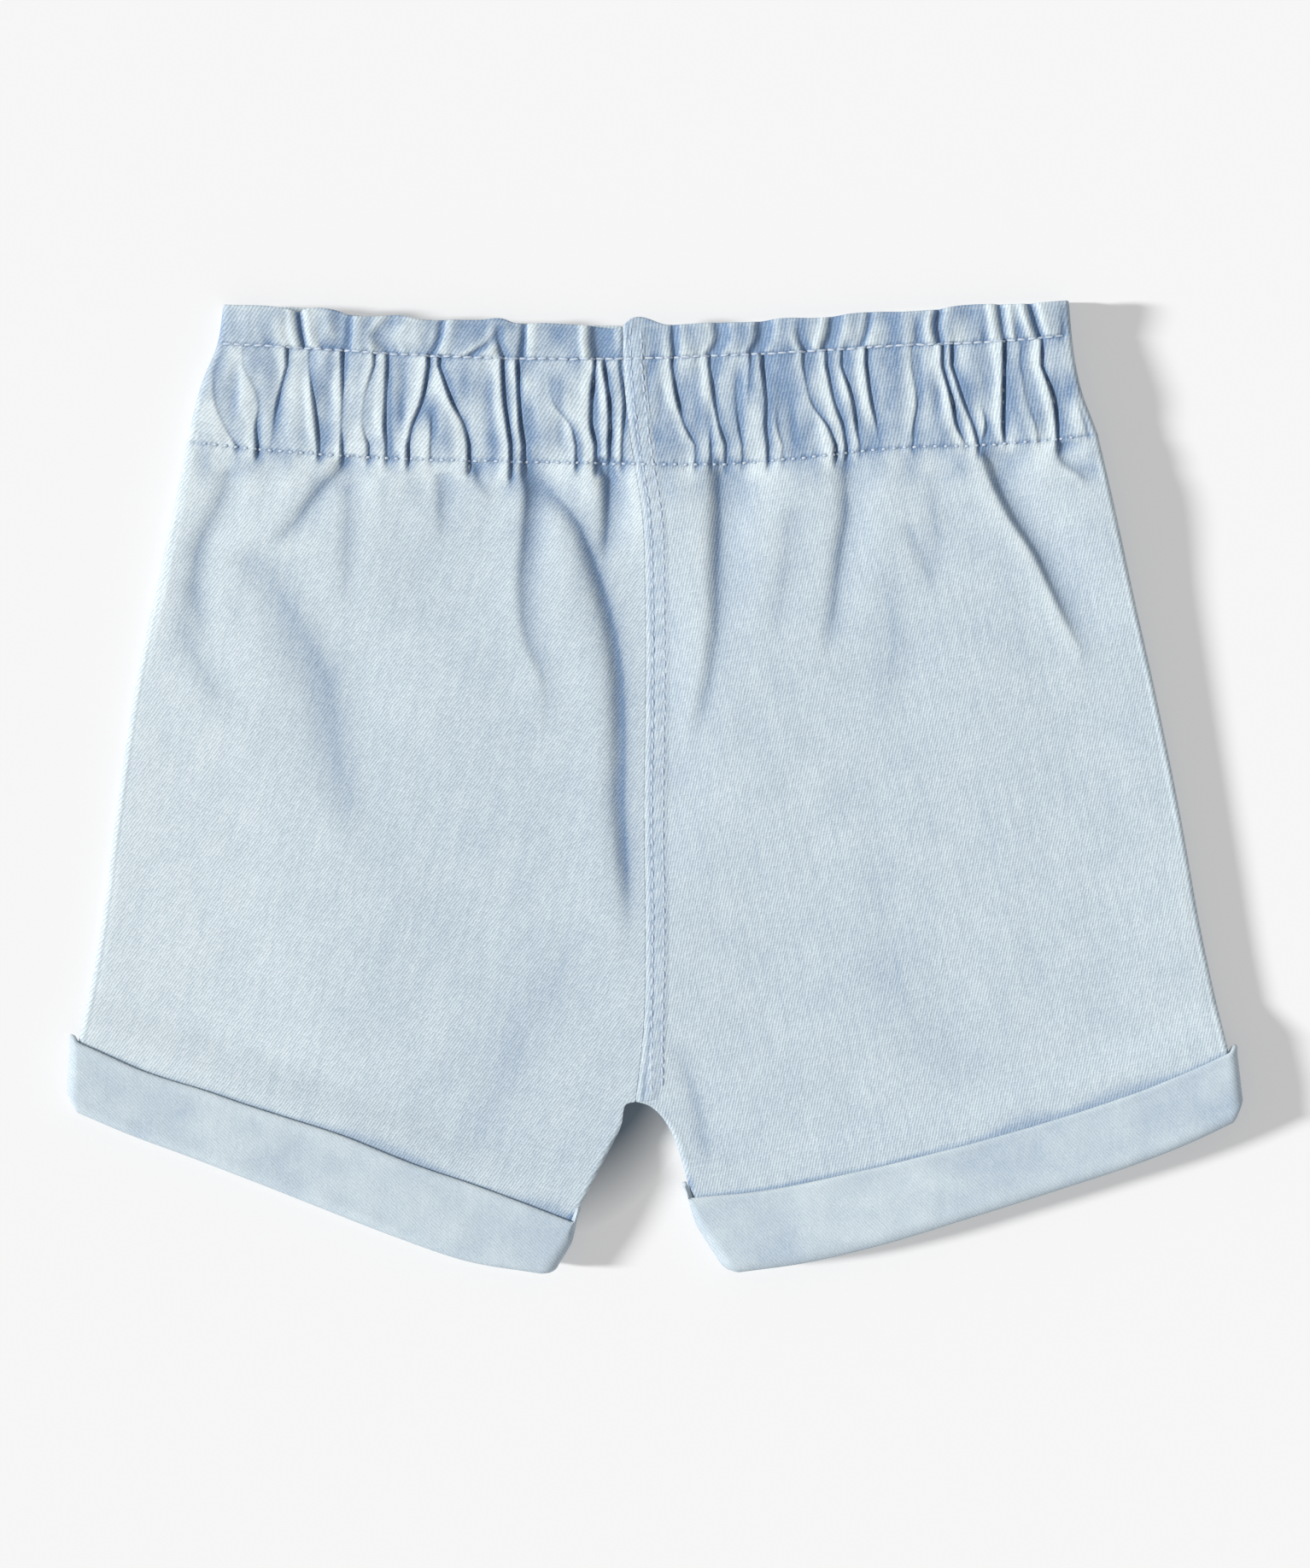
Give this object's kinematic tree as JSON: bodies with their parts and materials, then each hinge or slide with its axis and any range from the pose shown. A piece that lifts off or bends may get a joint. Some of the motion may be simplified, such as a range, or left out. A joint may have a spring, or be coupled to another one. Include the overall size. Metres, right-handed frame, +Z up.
{
  "type": "denim shorts",
  "caption": "Child's pale denim shorts with a frilled elastic waist and turned-up cuffs, laid flat with the back facing up.",
  "frame": {"origin": "centre of the outline, on the surface that the front of the shorts lies on", "axes": "+X towards the wearer's right, +Y towards the waist, +Z up, out of the back of the shorts"},
  "size_m": [0.33, 0.2727, 0.0078],
  "materials": {
    "denim": "light-washed twill denim, face side",
    "denim_reverse": "light-washed twill denim, reverse side"
  },
  "bodies": {
    "root": {"back_left_leg": "denim", "back_right_leg": "denim", "front_left_leg": "denim", "front_right_leg": "denim", "back_left_casing": "denim", "back_right_casing": "denim", "front_left_casing": "denim", "front_right_casing": "denim", "left_cuff": "denim_reverse", "right_cuff": "denim_reverse", "back_seam": "denim", "waist_seam": "denim"}
  },
  "joints": []
}
